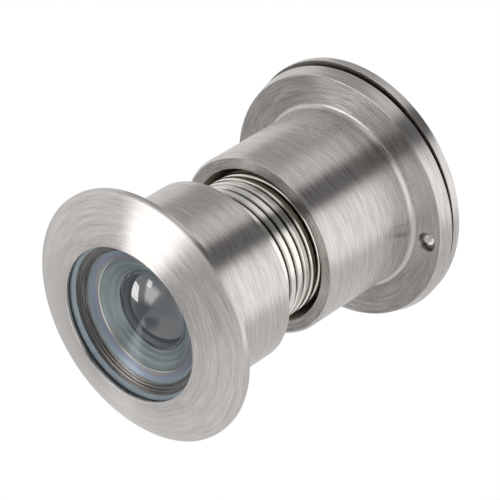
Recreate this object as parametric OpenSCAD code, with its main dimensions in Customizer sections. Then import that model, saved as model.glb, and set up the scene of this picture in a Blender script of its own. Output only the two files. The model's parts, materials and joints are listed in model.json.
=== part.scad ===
// Door viewer: a wide-angle peephole made of an outer and an inner half.
// The halves are drawn together by a threaded tube, and a swinging disc covers the eyepiece.
// The optical axis lies along Y: the front lens faces -Y (outdoors) and the eyepiece +Y (the room).
// The origin is on the axis, in the plane where the outer flange rests on the door.

/* [Door and barrels] */
// Diameter of both barrels, and of the hole in the door
barrel_d = 28; // [26:0.5:30]
// Length of the outer barrel behind its flange
outer_barrel_len = 14.7; // [14.5:0.1:16]
// Gap between the two barrels as the viewer is set
barrel_gap = 9; // [7:0.1:10]
// Length of the inner barrel in front of its flange
inner_barrel_len = 18.2; // [17:0.1:20]
// Diameter of the wide bore in the inner barrel
inner_bore_d = 24; // [23:0.1:24.6]

/* [Outer flange] */
// Diameter of the outer flange
outer_flange_d = 38.4; // [36:0.2:42]
// Thickness of the outer flange at its rim
outer_rim_t = 0.8; // [0.6:0.1:1.2]
// Height of the bezel in front of the door
bezel_h = 3.5; // [3.3:0.1:4]
// Diameter of the lens aperture
aperture_d = 23.6; // [22:0.1:24]

/* [Inner flange and cover] */
// Diameter of the inner flange and of the cover
inner_flange_d = 39.6; // [38:0.2:42]
// Thickness of the inner flange
inner_flange_t = 2.2; // [2.1:0.1:3]
// Diameter of the inner flange's edge on the door side
inner_edge_d = 38.4; // [36:0.2:39]
// Thickness of the cover below its rounded edge
cover_rim_t = 0.85; // [0.8:0.05:1.2]
// Radius of the cover's rounded edge
cover_edge_r = 1.1; // [0.6:0.1:1.3]
// Height of the cover's crown above its rounded edge
cover_crown_h = 0.6; // [0.4:0.1:1]
// Gap between the flange and the cover at the pivot
cover_gap = 0.15; // [0.13:0.01:0.2]
// Lean of the cover on its pivot, in degrees
cover_lean = 1.4; // [0.1:0.1:1.5]
// Turn of the cover about its pivot as it hangs at rest, in degrees
cover_turn = 2; // [0:0.5:5]
// Distance of the cover pivot from the axis
pivot_r = 16.8; // [16.5:0.1:17]
// Direction of the cover pivot from +X towards +Z, in degrees
pivot_angle = -6.4; // [-30:0.1:30]

/* [Threaded tube] */
// Outside diameter of the thread
thread_d = 21.9; // [21.5:0.1:22]
// Pitch of the thread
thread_pitch = 1.5; // [1.5:0.1:1.6]
// Depth of the thread
thread_depth = 0.5; // [0.4:0.05:0.6]
// Diameter of the tube's bore
tube_bore_d = 18.6; // [18.4:0.1:18.8]
// Turns of thread on the tube
tube_turns = 12; // [11:1:13]
// Turns of thread in the bush
bush_turns = 3; // [2:1:3]
// Radial clearance between the two threads
thread_clearance = 0.12; // [0.1:0.01:0.15]

/* [Optics] */
// Diameter of the front lens
front_lens_d = 25; // [24.6:0.1:25]
// Diameter of the small lenses in the cell
small_lens_d = 15.6; // [15:0.1:15.8]
// Diameter of the eyepiece lens
eyepiece_d = 18.4; // [18:0.1:18.4]

/* [Hidden] */
$fn = 96;

eps = 0.01;
edge_break = 0.15;

// stations along the axis, all in the part's own frame
rim_front_y = -outer_rim_t;
bezel_y = -bezel_h;
outer_end_y = outer_barrel_len;
mouth_y = outer_end_y + barrel_gap;
inner_flange_y = mouth_y + inner_barrel_len;
flange_back_y = inner_flange_y + inner_flange_t;

// the housing bore that holds the lenses and the bush
housing_bore_d = front_lens_d + 0.1;
lip_t = 0.5;
seal_t = 0.3;
seal_y = bezel_y + lip_t;
front_lens_y = seal_y + seal_t;
front_rim_t = 0.25;
front_body_t = 0.65;
spacer_skirt_y = front_lens_y + front_rim_t;
spacer_cone_t = 0.95;
cell_y = spacer_skirt_y + front_body_t + spacer_cone_t;
cell_flange_t = 3.25;
cell_flange_back_y = cell_y + cell_flange_t;

// the narrow cell that the tube slides over; its flange is a funnel down to a lip
cell_d = tube_bore_d - 1;
cell_bore_d = small_lens_d + 0.1;
cell_len = 14.85;
cell_chamfer_t = 0.4;
funnel_t = 1.95;
cell_lip_t = 0.6;
second_lens_y = cell_y + cell_chamfer_t + funnel_t + cell_lip_t;
second_lens_t = 3;
cell_spacer_y = second_lens_y + second_lens_t;
cell_spacer_t = 1.6;
third_lens_y = cell_spacer_y + cell_spacer_t;
third_lens_t = 2.6;
cell_retainer_y = third_lens_y + third_lens_t;
cell_retainer_t = 1.2;

// thread profile: root, flank, crest, flank over one pitch
crest_w = 0.75;
flank_w = 0.275;
flank_gap = 0.05;
thread_segments = 48;
thread_crest_r = thread_d / 2;
thread_root_r = thread_crest_r - thread_depth;
tube_front_y = 7.9;
shank_r = thread_root_r - 0.15;
bush_back_y = outer_end_y - 0.3;

// the tube's captive end, behind the web of the inner housing
web_t = 1.5;
head_t = 1.8;
head_d = 26;
head_recess = 1;
washer_t = 0.2;
head_back_y = flange_back_y - head_recess;
head_y = head_back_y - head_t;
web_back_y = head_y - washer_t;
web_y = web_back_y - web_t;
circlip_t = 0.5;
circlip_depth = 0.5;
circlip_y = web_y - circlip_t - 0.1;
eyepiece_t = 2.2;
eyepiece_retainer_t = 1;
eyepiece_retainer_y = head_back_y - eyepiece_retainer_t - 0.2;
eyepiece_y = eyepiece_retainer_y - eyepiece_t;
eyepiece_lip_t = 0.8;
eyepiece_lip_r = eyepiece_d / 2 - 0.8;

// the cover pivot
pivot_d = 2;
pivot_hole_d = 2.16;
pivot_bore_d = 3;
pivot_bore_depth = 1;
pivot_washer_d = 4.2;
pivot_washer_t = 0.4;
pivot_recess_d = 4.4;
pivot_recess_depth = 0.5;
pivot_in_cover = 1;
cover_recess_d = 29;
cover_recess_depth = 0.7;

// turns a body of revolution drawn along +Z so that it lies along +Y from y
module along_axis(y = 0) {
    translate([0, y, 0]) rotate([-90, 0, 0]) children();
}

// a plain ring or disc of a diameter, from z = 0 up
module ring(outer_d, inner_d, length) {
    difference() {
        cylinder(d = outer_d, h = length);
        if (inner_d > 0) translate([0, 0, -1]) cylinder(d = inner_d, h = length + 2);
    }
}

// the radius of a sphere that bulges by sag over a disc of radius r
function sag_radius(r, sag) = (r * r + sag * sag) / (2 * sag);

// a spherical cap of base radius r and height sag, standing just below z = 0
module cap(r, sag) {
    ball_r = sag_radius(r, sag);
    rotate_extrude() intersection() {
        translate([0, sag - ball_r]) circle(r = ball_r, $fn = 1440);
        translate([0, -eps]) square([r + 1, sag + 1]);
    }
}

// places its children at the cover pivot, looking along +Y
module at_pivot(y, lean = 0) {
    translate([pivot_r * cos(pivot_angle), y, pivot_r * sin(pivot_angle)])
        rotate([0, -pivot_angle, 0])
            rotate([0, 0, -lean])
                rotate([-90, 0, 0])
                    children();
}

// places its children on the cover's own leaning pivot, where the cover meets it
module on_cover_pivot() {
    at_pivot(cover_y, cover_lean) children();
}

// ---- outer half ----

// the bezel's domed front, a ball that meets the rim and the aperture
rim_r = outer_flange_d / 2 - 0.2;
aperture_r = aperture_d / 2;
dome_drop = bezel_h - outer_rim_t;
dome_centre = (rim_r * rim_r - aperture_r * aperture_r - dome_drop * dome_drop) / (2 * dome_drop);
dome_r = sqrt(rim_r * rim_r + dome_centre * dome_centre);

module outer_housing() color("silver") {
    difference() {
        union() {
            intersection() {
                along_axis(bezel_y) cylinder(d = outer_flange_d, h = bezel_h);
                translate([0, rim_front_y + dome_centre, 0]) sphere(r = dome_r);
            }
            along_axis(-eps) cylinder(d = barrel_d, h = outer_barrel_len - 0.3 + eps);
            along_axis(outer_barrel_len - 0.3)
                cylinder(d1 = barrel_d, d2 = barrel_d - 0.6, h = 0.3);
        }
        along_axis(seal_y) cylinder(d = housing_bore_d, h = outer_barrel_len + bezel_h);
        along_axis(bezel_y - 1) cylinder(d = aperture_d, h = 3);
    }
}

module lens_seal() color("dimgray")
    along_axis(seal_y) ring(front_lens_d, aperture_d, seal_t);

// a slightly domed lens, hollowed behind, with a thin rim and a ground, tapered body
front_lens_sag = 0.45;
front_body_r = aperture_r - 0.05;
front_body_taper = 0.3;
front_hollow_r = 9.5;
front_hollow_depth = 0.45;

module front_lens() color("lightcyan", 0.5)
    along_axis(front_lens_y) difference() {
        union() {
            cylinder(d = front_lens_d, h = front_rim_t);
            translate([0, 0, front_rim_t - eps])
                cylinder(r1 = front_body_r, r2 = front_body_r - front_body_taper,
                         h = front_body_t + eps);
            mirror([0, 0, 1]) cap(aperture_r - 0.2, front_lens_sag);
        }
        translate([0, 0, front_rim_t + front_body_t]) mirror([0, 0, 1])
            cap(front_hollow_r, front_hollow_depth);
    }

// a skirt round the lens's body, a seat behind it, and a cone that narrows to the cell
spacer_seat_r = aperture_r - 0.5;
spacer_back_r = aperture_r - 1.6;

module front_spacer() color("dimgray")
    along_axis(spacer_skirt_y) difference() {
        cylinder(d = front_lens_d, h = front_body_t + spacer_cone_t);
        translate([0, 0, -1]) cylinder(r = aperture_r, h = front_body_t + 1);
        translate([0, 0, front_body_t - eps])
            cylinder(r1 = spacer_seat_r, r2 = spacer_back_r, h = spacer_cone_t + 2 * eps);
    }

// the mouth of the cell's funnel, and the lip that the second lens looks through
funnel_r = spacer_back_r - 0.7;
cell_lip_r = small_lens_d / 2 - 1.6;

module lens_cell() color("dimgray")
    along_axis(cell_y) difference() {
        union() {
            cylinder(d = front_lens_d, h = cell_flange_t);
            cylinder(d = cell_d, h = cell_len);
        }
        translate([0, 0, -eps])
            cylinder(r1 = spacer_back_r, r2 = funnel_r, h = cell_chamfer_t + 2 * eps);
        translate([0, 0, cell_chamfer_t])
            cylinder(r1 = funnel_r, r2 = cell_lip_r, h = funnel_t);
        cylinder(r = cell_lip_r, h = cell_flange_t);
        translate([0, 0, second_lens_y - cell_y]) cylinder(d = cell_bore_d, h = cell_len);
    }

// a flat-fronted lens, hollowed at the back
module hollow_lens(d, t, hollow_r, hollow_depth) {
    difference() {
        cylinder(d = d, h = t);
        translate([0, 0, t]) mirror([0, 0, 1]) cap(hollow_r, hollow_depth);
    }
}

// a domed front stands forward through the cell's lip
second_dome_r = 5.7;
second_dome_h = 1.8;
second_neck_h = 0.6;

module second_lens() color("lightcyan", 0.5)
    along_axis(second_lens_y) {
        difference() {
            union() {
                cylinder(d = small_lens_d, h = second_lens_t);
                translate([0, 0, -second_neck_h]) cylinder(r = second_dome_r, h = second_neck_h + eps);
                translate([0, 0, -second_neck_h]) mirror([0, 0, 1]) cap(second_dome_r, second_dome_h);
            }
            translate([0, 0, second_lens_t]) mirror([0, 0, 1]) cap(5.5, 2.6);
        }
    }

module cell_spacer() color("dimgray")
    along_axis(cell_spacer_y) ring(small_lens_d, small_lens_d - 2.4, cell_spacer_t);

module third_lens() color("lightcyan", 0.5)
    along_axis(third_lens_y) hollow_lens(small_lens_d, third_lens_t, 5.5, 1.6);

module cell_retainer() color("dimgray")
    along_axis(cell_retainer_y) difference() {
        ring(small_lens_d, small_lens_d - 3, cell_retainer_t);
        translate([-cell_d / 2, -0.5, cell_retainer_t - 0.5]) cube([cell_d, 1, 1]);
    }

// ---- threads ----

// A threaded shell is one closed skin. Its thread is a strip that climbs the helix: station k is
// k steps round, and corner q is the q-th corner of the profile. Corner 4 of station k is corner 0
// one turn further on. The rest of the section is a list of [radius, z] rings, which runs from the
// end of the thread round the other side of the wall to the start of the thread. Before its first
// ridge and after its last, an inside thread stands open at the high radius, clear of the crests.
function thread_point(k, r, z) =
    let (a = 360 * k / thread_segments)
    [r * cos(a), r * sin(a), z + thread_pitch * k / thread_segments];

function ring_points(r, z) =
    [for (i = [0:thread_segments - 1])
        let (a = 360 * i / thread_segments)
        [r * cos(a), r * sin(a), z]];

module threaded_shell(z0, turns, low_r, high_r, corners, rings, inside_out = false) {
    n = thread_segments;
    stations = n * turns;
    profile_r = [low_r, high_r, high_r, low_r];
    corner_z = [0, corners[0], corners[1], corners[2]];
    open_r = inside_out ? high_r : low_r;
    // corner 0 runs one turn further than the others
    base = [for (k = [0:stations + n])
        thread_point(k, k > n && k < stations ? low_r : open_r, z0)];
    others = [for (k = [0:stations]) for (q = [1:3])
        thread_point(k, profile_r[q], z0 + corner_z[q])];
    round_rings = [for (ring = rings) each ring_points(ring[0], ring[1])];
    others_at = len(base);
    rings_at = others_at + len(others);
    last = len(rings) - 1;
    function corner(k, q) =
        q == 0 ? k : q == 4 ? k + n : others_at + 3 * k + q - 1;
    function on_ring(j, i) = rings_at + j * n + i % n;
    strip = [for (k = [0:stations - 1]) for (q = [0:3]) each
        [[corner(k, q), corner(k, q + 1), corner(k + 1, q)],
         [corner(k + 1, q), corner(k, q + 1), corner(k + 1, q + 1)]]];
    start = [for (i = [0:n - 1]) each
        [[on_ring(last, i), corner(i, 0), on_ring(last, i + 1)],
         [on_ring(last, i + 1), corner(i, 0), corner(i + 1, 0)]]];
    end = [for (i = [0:n - 1]) each
        [[corner(stations + i, 0), on_ring(0, i), corner(stations + i + 1, 0)],
         [corner(stations + i + 1, 0), on_ring(0, i), on_ring(0, i + 1)]]];
    wall = [for (j = [0:last - 1]) for (i = [0:n - 1]) each
        [[on_ring(j, i), on_ring(j + 1, i), on_ring(j, i + 1)],
         [on_ring(j, i + 1), on_ring(j + 1, i), on_ring(j + 1, i + 1)]]];
    // each flat end of the strip is its five corners and one point of the ring beside it
    start_points = [for (q = [0:4]) corner(0, q), on_ring(last, 0)];
    end_points = [for (q = [0:4]) corner(stations, q), on_ring(0, 0)];
    start_triangles = inside_out ? [[5, 1, 0], [5, 2, 1], [5, 4, 2], [2, 4, 3]]
                                 : [[5, 1, 0], [5, 2, 1], [5, 3, 2], [5, 4, 3]];
    end_triangles = inside_out ? [[0, 1, 5], [1, 2, 5], [2, 3, 4], [2, 4, 5]]
                               : [[0, 1, 2], [0, 2, 3], [0, 3, 5], [3, 4, 5]];
    start_face = [for (t = start_triangles) [for (i = t) start_points[i]]];
    end_face = [for (t = end_triangles) [for (i = t) end_points[i]]];
    faces = concat(strip, start, end, wall, start_face, end_face);
    polyhedron(concat(base, others, round_rings),
               inside_out ? [for (f = faces) [f[2], f[1], f[0]]] : faces);
}

// the bush's thread meshes with the tube's, so it starts a whole number of turns away
bush_thread_y = tube_front_y - flank_gap;
bush_thread_end_y = bush_thread_y + thread_pitch * (bush_turns + 1);
bush_low_r = thread_root_r + thread_clearance;
bush_high_r = thread_crest_r + thread_clearance;
bush_bore_r = bush_high_r + 0.2;
bush_r = front_lens_d / 2;

module threaded_bush() color("silver")
    along_axis() threaded_shell(
        bush_thread_y, bush_turns, bush_low_r, bush_high_r,
        [flank_w, flank_w + crest_w + 2 * flank_gap, 2 * (flank_w + flank_gap) + crest_w],
        [[bush_bore_r, bush_thread_end_y],
         [bush_bore_r, bush_back_y],
         [bush_r, bush_back_y],
         [bush_r, cell_flange_back_y],
         [bush_bore_r, cell_flange_back_y],
         [bush_bore_r, bush_thread_y]],
        inside_out = true);

tube_bore_r = tube_bore_d / 2;
tube_thread_end_y = tube_front_y + thread_pitch * (tube_turns + 1);

module threaded_tube() color("silver")
    along_axis() threaded_shell(
        tube_front_y, tube_turns, thread_root_r, thread_crest_r,
        [flank_w, flank_w + crest_w, 2 * flank_w + crest_w],
        [[thread_root_r - 0.1, tube_thread_end_y],
         [shank_r, tube_thread_end_y + 0.1],
         [shank_r, circlip_y],
         [shank_r - circlip_depth, circlip_y],
         [shank_r - circlip_depth, circlip_y + circlip_t],
         [shank_r, circlip_y + circlip_t],
         [shank_r, head_y],
         [head_d / 2, head_y],
         [head_d / 2, head_back_y - 0.3],
         [head_d / 2 - 0.3, head_back_y],
         [tube_bore_r, head_back_y],
         [tube_bore_r, eyepiece_y],
         [eyepiece_lip_r, eyepiece_y],
         [eyepiece_lip_r, eyepiece_y - eyepiece_lip_t],
         [tube_bore_r, eyepiece_y - eyepiece_lip_t - 0.3],
         [tube_bore_r, tube_front_y],
         [thread_root_r - 0.3, tube_front_y]]);

// an open snap ring, its ends apart by a narrow slot
module tube_circlip() color("gray")
    along_axis(circlip_y) difference() {
        ring(2 * shank_r + 1.4, 2 * (shank_r - circlip_depth) + 0.1, circlip_t);
        translate([0, -1.5, -1]) cube([head_d, 3, 3]);
    }

module eyepiece_lens() color("lightcyan", 0.5)
    along_axis(eyepiece_y) {
        cylinder(d = eyepiece_d, h = eyepiece_t - 1);
        translate([0, 0, eyepiece_t - 1 - eps]) cap(eyepiece_d / 2 - 0.6, 0.9);
    }

module eyepiece_retainer() color("dimgray")
    along_axis(eyepiece_retainer_y) difference() {
        ring(eyepiece_d, eyepiece_d - 3, eyepiece_retainer_t);
        translate([-tube_bore_r, -0.6, eyepiece_retainer_t - 0.5]) cube([tube_bore_d, 1.2, 1]);
    }

// ---- inner half ----

// the web's hole is a running fit for the tube's shank
web_hole_d = 2 * shank_r + 0.16;
head_bore_d = head_d + 0.5;
mouth_chamfer = 0.35;
root_fillet = 0.8;

module inner_housing() color("silver") {
    difference() {
        union() {
            along_axis(mouth_y)
                cylinder(d1 = barrel_d - 2 * mouth_chamfer, d2 = barrel_d, h = mouth_chamfer);
            along_axis(mouth_y + mouth_chamfer - eps)
                cylinder(d = barrel_d, h = inner_barrel_len - mouth_chamfer + 2 * eps);
            along_axis(inner_flange_y) inner_flange_blank();
            along_axis(inner_flange_y - root_fillet) root_ring();
        }
        along_axis(mouth_y - 1) cylinder(d = inner_bore_d, h = web_y - mouth_y + 1);
        along_axis(mouth_y) cylinder(d = web_hole_d, h = flange_back_y - mouth_y + 1);
        along_axis(web_back_y) cylinder(d = head_bore_d, h = 4);
        at_pivot(inner_flange_y - 1) cylinder(d = pivot_hole_d, h = inner_flange_t + 2);
        at_pivot(inner_flange_y - 1) cylinder(d = pivot_bore_d, h = pivot_bore_depth + 1);
        at_pivot(flange_back_y - pivot_recess_depth) cylinder(d = pivot_recess_d, h = 2);
    }
}

// the flange widens from its door edge to its back edge, and both edges are broken
module inner_flange_blank() {
    front_r = inner_edge_d / 2;
    back_r = inner_flange_d / 2;
    rotate_extrude() polygon([
        [0, 0], [front_r - edge_break, 0], [front_r, edge_break],
        [back_r, inner_flange_t - edge_break], [back_r - edge_break, inner_flange_t],
        [0, inner_flange_t]]);
}

// the small fillet where the inner barrel meets its flange
module root_ring() {
    rotate_extrude() difference() {
        square([barrel_d / 2 + root_fillet, root_fillet + eps]);
        translate([barrel_d / 2 + root_fillet, 0]) circle(r = root_fillet);
    }
}

module thrust_washer() color("gainsboro")
    along_axis(web_back_y) ring(head_d, web_hole_d + 0.2, washer_t);

module pivot_washer() color("gainsboro")
    at_pivot(flange_back_y - pivot_recess_depth + 0.02)
        ring(pivot_washer_d, pivot_d + 0.2, pivot_washer_t);

// ---- cover ----

cover_y = flange_back_y + cover_gap;
cover_flat_r = inner_flange_d / 2 - cover_edge_r;
cover_shoulder_z = cover_rim_t + cover_edge_r;

// half of the cover's outline: a straight rim, a rounded edge and a shallow crown
module cover_section() {
    ball_r = sag_radius(cover_flat_r, cover_crown_h);
    square([inner_flange_d / 2, cover_rim_t]);
    translate([cover_flat_r, cover_rim_t]) intersection() {
        circle(r = cover_edge_r);
        square(cover_edge_r);
    }
    square([cover_flat_r, cover_shoulder_z]);
    intersection() {
        translate([0, cover_shoulder_z + cover_crown_h - ball_r]) circle(r = ball_r, $fn = 1440);
        square([cover_flat_r, cover_shoulder_z + cover_crown_h]);
    }
}

module privacy_cover() color("silver")
    on_cover_pivot() difference() {
        rotate([0, 0, cover_turn]) translate([-pivot_r, 0, 0]) difference() {
            rotate_extrude() cover_section();
            translate([0, 0, -1]) cylinder(d = cover_recess_d, h = cover_recess_depth + 1);
        }
        translate([0, 0, -1]) cylinder(d = pivot_d, h = pivot_in_cover + 1);
    }

// the pin is fast in the cover and turns in the flange
pivot_tail_y = inner_flange_y + 0.25;
pivot_len = cover_y - pivot_tail_y;

module cover_pivot() color("silver")
    on_cover_pivot() translate([0, 0, -pivot_len]) {
        cylinder(d1 = pivot_d - 0.6, d2 = pivot_d, h = 0.3);
        translate([0, 0, 0.3]) cylinder(d = pivot_d, h = pivot_len + pivot_in_cover - 0.3);
    }

nut_t = 0.25;
nut_d = 2.7;

module pivot_push_nut() color("gray")
    on_cover_pivot()
        translate([0, 0, -(cover_y - inner_flange_y) + pivot_bore_depth - nut_t - 0.08])
            ring(nut_d, pivot_d, nut_t);

outer_housing();
lens_seal();
front_lens();
front_spacer();
lens_cell();
second_lens();
cell_spacer();
third_lens();
cell_retainer();
threaded_bush();
inner_housing();
thrust_washer();
pivot_washer();
threaded_tube();
tube_circlip();
eyepiece_lens();
eyepiece_retainer();
privacy_cover();
cover_pivot();
pivot_push_nut();
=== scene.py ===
import json
import math

import bmesh
import bpy
from mathutils import Matrix, Vector


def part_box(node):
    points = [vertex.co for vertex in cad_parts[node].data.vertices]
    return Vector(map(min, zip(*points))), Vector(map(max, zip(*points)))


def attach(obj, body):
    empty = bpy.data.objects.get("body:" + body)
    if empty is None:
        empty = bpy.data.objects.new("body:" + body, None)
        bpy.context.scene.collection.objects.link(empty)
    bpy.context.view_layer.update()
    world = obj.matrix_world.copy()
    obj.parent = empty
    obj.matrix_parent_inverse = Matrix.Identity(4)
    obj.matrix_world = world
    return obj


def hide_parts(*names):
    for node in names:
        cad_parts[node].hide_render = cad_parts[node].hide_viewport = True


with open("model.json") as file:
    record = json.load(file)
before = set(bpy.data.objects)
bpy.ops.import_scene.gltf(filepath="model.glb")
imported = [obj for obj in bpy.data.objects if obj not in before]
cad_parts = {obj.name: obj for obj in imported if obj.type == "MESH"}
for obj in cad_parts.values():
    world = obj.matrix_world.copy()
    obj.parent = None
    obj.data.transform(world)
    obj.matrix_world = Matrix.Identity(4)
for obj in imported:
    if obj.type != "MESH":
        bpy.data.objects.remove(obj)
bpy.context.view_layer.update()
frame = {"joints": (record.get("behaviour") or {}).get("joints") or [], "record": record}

MM = 0.001
TURN = 2 * math.pi

# ---------------------------------------------------------------- sizes, in millimetres

joints = {joint["name"]: joint for joint in frame["joints"]}
mounts = {mount["name"]: mount for mount in frame["record"]["mounts"]}


def span(node):
    """The first and last station of a node along the axis, and its outer radius."""
    low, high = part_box(node)
    return low.y / MM, high.y / MM, (high.z - low.z) / 2 / MM


SKIN = 0.01         # how far a drawn surface lies inside its CAD face
SQUARE_FACE = 0.9   # how far along the axis a face's normal points when it looks in or out
NEAR = 0.06         # how close a face's middle has to be to a radius or station to count as on it
AROUND = 256        # faces round a turned piece
AROUND_SMALL = 64   # and round the small parts of the pivot
AROUND_WASHER = 96

# the two housings
BARREL_R = mounts["outer_barrel"]["dims"]["r_mm"]
APERTURE_R = 11.8
HOUSING_BORE_R = 12.55
RIM_Y = -0.8
RIM_EDGE = 0.2
BARREL_CHAMFER = 0.3
MOUTH_CHAMFER = 0.35
INNER_BORE_R = 12.0
INNER_EDGE_R = 19.2
FLANGE_T = 2.2
FLANGE_BREAK = 0.15
ROOT_FILLET = 0.8
WEB_Y, WEB_BACK_Y = 39.6, 41.1

# the threads on the tube and in the bush
THREAD_PITCH = 1.5
THREAD_CREST = 0.75
THREAD_FLANK = 0.275
THREAD_DEPTH = 0.5
THREAD_ROOT_R = 10.45
THREAD_TURNS = 12
THREAD_END_Y = 27.2
RUN_OUT_TURNS = 0.33
STATIONS_PER_TURN = 64
BUSH_BORE_R = 11.13
BUSH_ROOT_R = 11.15
BUSH_RIDGE = 0.55
BUSH_CREST = 0.12
BUSH_TURNS = 3
BUSH_THREAD_Y = 7.465

# the lenses, their spacers and the cell
GROUND_FRONT_R = 11.75
GROUND_BACK_R = 11.45
HOLLOW_R = 9.5
HOLLOW_DEPTH = 0.45
SPACER_SEAT_R = 11.3
SPACER_BACK_R = 10.2
CONE_LINES = 7
CONE_LINE_DEPTH = 0.13
FUNNEL_R = 9.5
FUNNEL_T = 1.95
CELL_CHAMFER_T = 0.4
CELL_LIP_R = 6.2
CELL_R = 8.8
FUNNEL_RIDGES = ((8.7, 0.12), (7.5, 0.1), (6.75, 0.12))    # radius and height
DOME_R = 5.7
DOME_H = 1.8
INNER_HOLLOW_R = 5.6
SECOND_HOLLOW = 2.6
THIRD_HOLLOW = 1.6
CELL_SPACER_R = 6.6
CELL_RETAINER_R = 6.3
LENS_STEP_T = 3.0
LENS_STEP_Y = span("second_lens")[1] - LENS_STEP_T
BUSH_FRONT_Y = span("threaded_bush")[0]

# the tube, and what it carries
TUBE_BORE_R = 9.3
EYE_SEAT_R = 8.4
EYE_CLEAR_R = 8.65
EYE_EDGE_T = 1.2
EYE_RETAINER_R = 7.7
SHANK_R = 10.3
GROOVE_R = 9.81
CIRCLIP_BORE_R = 9.86
CIRCLIP_GAP = 3.0
WEB_HOLE_R = 10.38
HEAD_BORE_R = 13.25
COIN_SLOT_R = 11.2
THRUST_WASHER_R = 10.48

# the cover and its pivot
COVER_EDGE_R = 1.1
COVER_R = 19.78
COVER_RIM = 0.85
COVER_CROWN = 0.6
COVER_RECESS_R = 14.5
COVER_RECESS_DEPTH = 0.7
PIVOT_BORE_R = 1.5
PIVOT_BORE_DEPTH = 1.0
PIVOT_HOLE_R = 1.08
PIVOT_RECESS_R = 2.2
PIVOT_RECESS_DEPTH = 0.5

BRUSH_LINES_PER_MM = 7.0

# ---------------------------------------------------------------- node helpers


def linear(hex_colour, alpha=1.0):
    """An sRGB hex colour as linear RGBA."""
    channels = [int(hex_colour[i:i + 2], 16) / 255 for i in (1, 3, 5)]
    return [c / 12.92 if c <= 0.04045 else ((c + 0.055) / 1.055) ** 2.4 for c in channels] + [alpha]


def add(tree, kind, inputs=None, **settings):
    """Adds a node, sets its properties, and sets or links its inputs."""
    new = tree.nodes.new(kind)
    for name, value in settings.items():
        setattr(new, name, value)
    for socket, value in (inputs or {}).items():
        if isinstance(value, bpy.types.NodeSocket):
            tree.links.new(value, new.inputs[socket])
        else:
            new.inputs[socket].default_value = value
    return new


def new_material(name):
    """An empty node material and its tree."""
    material = bpy.data.materials.new(name)
    material.use_nodes = True
    material.node_tree.nodes.clear()
    return material, material.node_tree


def finish_surface(tree, shader):
    add(tree, "ShaderNodeOutputMaterial", {"Surface": shader.outputs[0]})


# ---------------------------------------------------------------- materials


def turned_vector(tree, streaks_around, lines_per_mm):
    """A vector that runs round the lathe axis slowly and along the section quickly."""
    uv = add(tree, "ShaderNodeUVMap", uv_map="turned")
    parts = add(tree, "ShaderNodeSeparateXYZ", {0: uv.outputs[0]})
    angle = add(tree, "ShaderNodeMath", {0: parts.outputs[0], 1: TURN}, operation="MULTIPLY")
    reach = streaks_around / TURN
    cosine = add(tree, "ShaderNodeMath", {0: angle.outputs[0]}, operation="COSINE")
    sine = add(tree, "ShaderNodeMath", {0: angle.outputs[0]}, operation="SINE")
    east = add(tree, "ShaderNodeMath", {0: cosine.outputs[0], 1: reach}, operation="MULTIPLY")
    north = add(tree, "ShaderNodeMath", {0: sine.outputs[0], 1: reach}, operation="MULTIPLY")
    along = add(tree, "ShaderNodeMath", {0: parts.outputs[1], 1: 100 * lines_per_mm},
                operation="MULTIPLY")
    return add(tree, "ShaderNodeCombineXYZ",
               {0: east.outputs[0], 1: north.outputs[0], 2: along.outputs[0]})


def grained(tree, scale, detail, low_hex, high_hex):
    """A fine grain all over between two colours. Gives the grain's socket and the colour's."""
    place = add(tree, "ShaderNodeTexCoord")
    grain = add(tree, "ShaderNodeTexNoise",
                {"Vector": place.outputs["Object"], "Scale": scale, "Detail": detail})
    tint = add(tree, "ShaderNodeMix",
               {0: grain.outputs[0], 6: linear(low_hex), 7: linear(high_hex)}, data_type="RGBA")
    return grain.outputs[0], tint.outputs[2]


def from_axis(tree):
    """The distance from the viewer's axis, in metres."""
    place = add(tree, "ShaderNodeTexCoord")
    parts = add(tree, "ShaderNodeSeparateXYZ", {0: place.outputs["Object"]})
    spoke = add(tree, "ShaderNodeCombineXYZ", {0: parts.outputs[0], 1: parts.outputs[2]})
    return add(tree, "ShaderNodeVectorMath", {0: spoke.outputs[0]},
               operation="LENGTH").outputs["Value"]


def satin_nickel():
    """Nickel plate over turned brass, brushed with an abrasive pad while it spins: grey with a
    warm cast, fine lines round the axis, and highlights drawn out across the lines. The pad's
    lines are about 0.03 mm apart, and are drawn coarser so that they show."""
    material, tree = new_material("satin_nickel_brushed")
    fine = add(tree, "ShaderNodeTexNoise",
               {"Vector": turned_vector(tree, 26, BRUSH_LINES_PER_MM).outputs[0], "Scale": 1.0,
                "Detail": 3.0, "Roughness": 0.6})
    broad = add(tree, "ShaderNodeTexNoise",
                {"Vector": turned_vector(tree, 9, 1.6).outputs[0], "Scale": 1.0, "Detail": 2.0,
                 "Roughness": 0.5})
    streak = add(tree, "ShaderNodeMath", {0: fine.outputs[0], 1: 0.75}, operation="MULTIPLY")
    both = add(tree, "ShaderNodeMath",
               {0: broad.outputs[0], 1: 0.25, 2: streak.outputs[0]}, operation="MULTIPLY_ADD")
    colour = add(tree, "ShaderNodeValToRGB", {0: both.outputs[0]})
    colour.color_ramp.elements[0].position = 0.34
    colour.color_ramp.elements[0].color = linear("#b0acaa")
    colour.color_ramp.elements[1].position = 0.64
    colour.color_ramp.elements[1].color = linear("#dbd7d4")
    rough = add(tree, "ShaderNodeMapRange",
                {"Value": fine.outputs[0], "From Min": 0.3, "From Max": 0.7, "To Min": 0.22,
                 "To Max": 0.32})
    bump = add(tree, "ShaderNodeBump",
               {"Height": fine.outputs[0], "Strength": 0.15, "Distance": 0.01 * MM})
    tangent = add(tree, "ShaderNodeTangent", direction_type="UV_MAP", uv_map="turned")
    shader = add(tree, "ShaderNodeBsdfPrincipled",
                 {"Base Color": colour.outputs[0], "Metallic": 1.0, "Roughness": rough.outputs[0],
                  "Anisotropic": 0.9, "Anisotropic Rotation": 0.25,
                  "Tangent": tangent.outputs[0], "Normal": bump.outputs[0]})
    finish_surface(tree, shader)
    return material


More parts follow.
